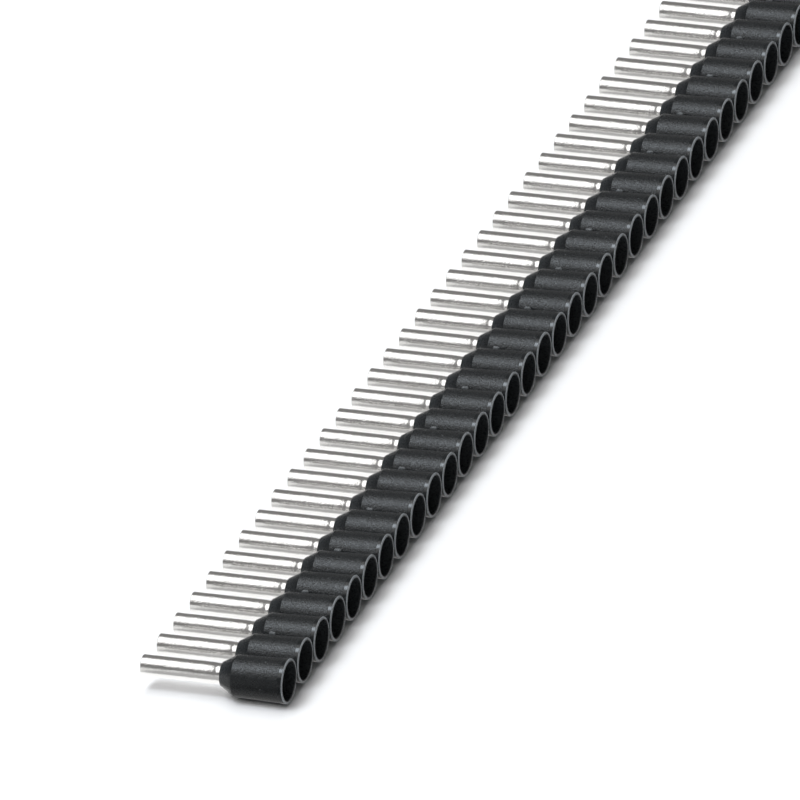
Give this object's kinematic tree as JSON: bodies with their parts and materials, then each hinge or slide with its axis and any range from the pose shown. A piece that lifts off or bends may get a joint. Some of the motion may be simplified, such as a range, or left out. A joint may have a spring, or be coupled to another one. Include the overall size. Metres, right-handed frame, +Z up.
{
  "type": "wire ferrule strip",
  "caption": "Strip of insulated wire ferrules: moulded black collars joined side by side, each with a tinned copper sleeve that is crimped onto a stripped wire end.",
  "frame": {"origin": "centre of the strip's footprint, at the lowest line of the collars' mouths", "axes": "+X along the strip from ferrule 1 to the last one, -Y out of the collar mouths, where the wire goes in, +Y towards the sleeve tips, +Z up off the surface it lies on"},
  "size_m": [0.2248, 0.014, 0.0042],
  "materials": {
    "black_collar": "satin moulded polypropylene",
    "tinned_copper": "electro-tinned copper, bright with faint drawing lines"
  },
  "bodies": {
    "root": {"collar_strip": "black_collar", "sleeve_01": "tinned_copper", "sleeve_02": "tinned_copper", "sleeve_03": "tinned_copper", "sleeve_04": "tinned_copper", "sleeve_05": "tinned_copper", "sleeve_06": "tinned_copper", "sleeve_07": "tinned_copper", "sleeve_08": "tinned_copper", "sleeve_09": "tinned_copper", "sleeve_10": "tinned_copper", "sleeve_11": "tinned_copper", "sleeve_12": "tinned_copper", "sleeve_13": "tinned_copper", "sleeve_14": "tinned_copper", "sleeve_15": "tinned_copper", "sleeve_16": "tinned_copper", "sleeve_17": "tinned_copper", "sleeve_18": "tinned_copper", "sleeve_19": "tinned_copper", "sleeve_20": "tinned_copper", "sleeve_21": "tinned_copper", "sleeve_22": "tinned_copper", "sleeve_23": "tinned_copper", "sleeve_24": "tinned_copper", "sleeve_25": "tinned_copper", "sleeve_26": "tinned_copper", "sleeve_27": "tinned_copper", "sleeve_28": "tinned_copper", "sleeve_29": "tinned_copper", "sleeve_30": "tinned_copper", "sleeve_31": "tinned_copper", "sleeve_32": "tinned_copper", "sleeve_33": "tinned_copper", "sleeve_34": "tinned_copper", "sleeve_35": "tinned_copper", "sleeve_36": "tinned_copper", "sleeve_37": "tinned_copper", "sleeve_38": "tinned_copper", "sleeve_39": "tinned_copper", "sleeve_40": "tinned_copper", "sleeve_41": "tinned_copper", "sleeve_42": "tinned_copper", "sleeve_43": "tinned_copper", "sleeve_44": "tinned_copper", "sleeve_45": "tinned_copper", "sleeve_46": "tinned_copper", "sleeve_47": "tinned_copper", "sleeve_48": "tinned_copper", "sleeve_49": "tinned_copper", "sleeve_50": "tinned_copper"}
  },
  "joints": []
}
